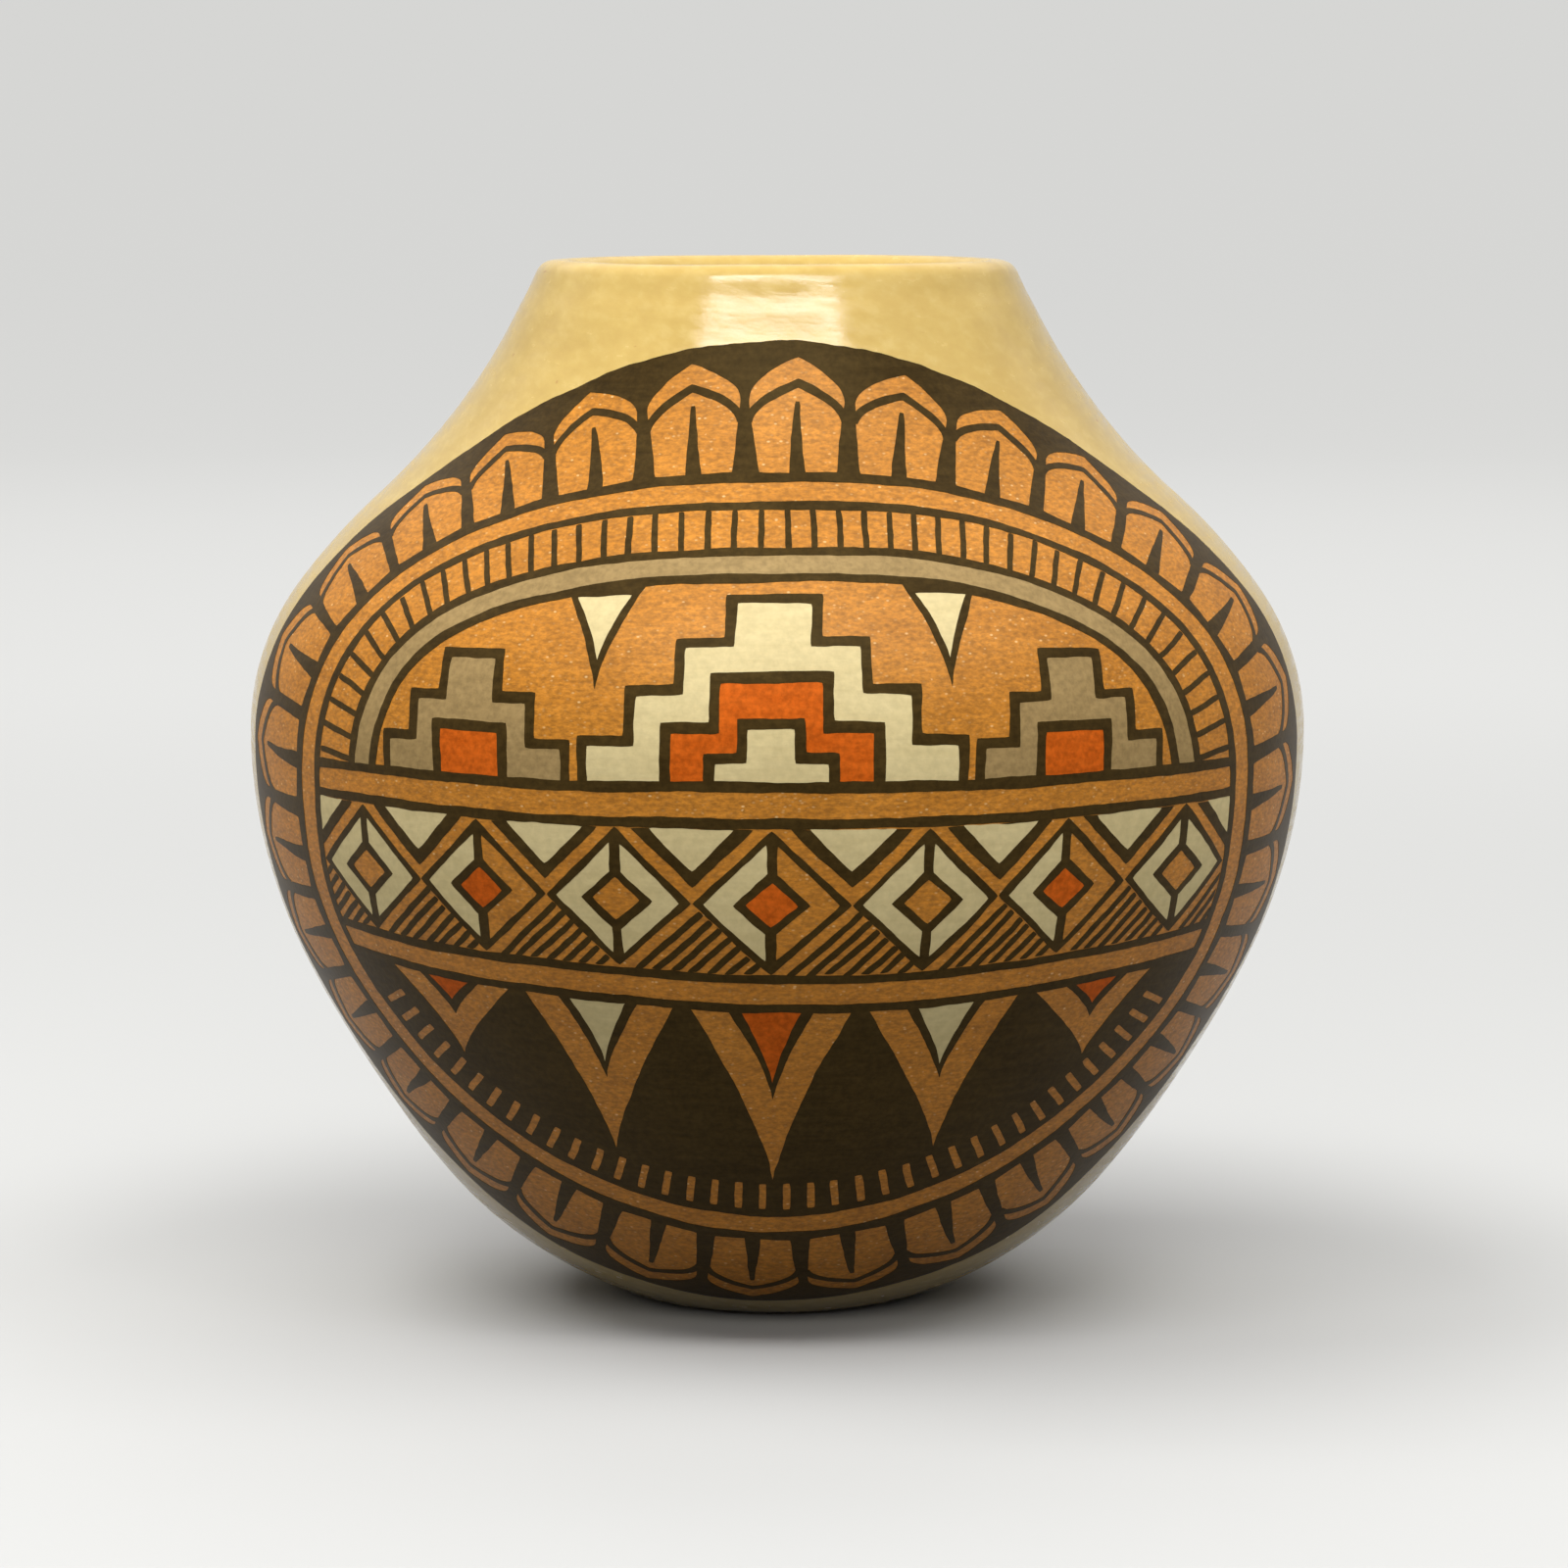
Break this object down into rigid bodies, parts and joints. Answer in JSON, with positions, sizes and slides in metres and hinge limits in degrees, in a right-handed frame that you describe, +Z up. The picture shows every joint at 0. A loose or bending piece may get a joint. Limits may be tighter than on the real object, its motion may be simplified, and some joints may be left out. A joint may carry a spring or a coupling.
{
  "type": "pueblo pottery jar",
  "caption": "Round-bellied hand-coiled pottery jar with a high shoulder, a short leaning neck and a small flat base, in burnished tan slip, for holding or display.",
  "frame": {"origin": "centre of the flat base, on the plane that the jar stands on", "axes": "+Z up along the jar's axis; the painted front faces -Y"},
  "size_m": [0.14, 0.14, 0.138],
  "materials": {
    "bare_clay": "fired unpolished tan clay",
    "polished_slip": "stone-burnished tan slip"
  },
  "bodies": {
    "root": {"base_pad": "bare_clay", "wall_coil_01": "bare_clay", "wall_coil_02": "bare_clay", "wall_coil_03": "bare_clay", "wall_coil_04": "bare_clay", "wall_coil_05": "bare_clay", "wall_coil_06": "bare_clay", "wall_coil_07": "bare_clay", "wall_coil_08": "bare_clay", "wall_coil_09": "bare_clay", "wall_coil_10": "bare_clay", "rim_coil": "bare_clay", "slip_coat": "polished_slip"}
  },
  "joints": []
}
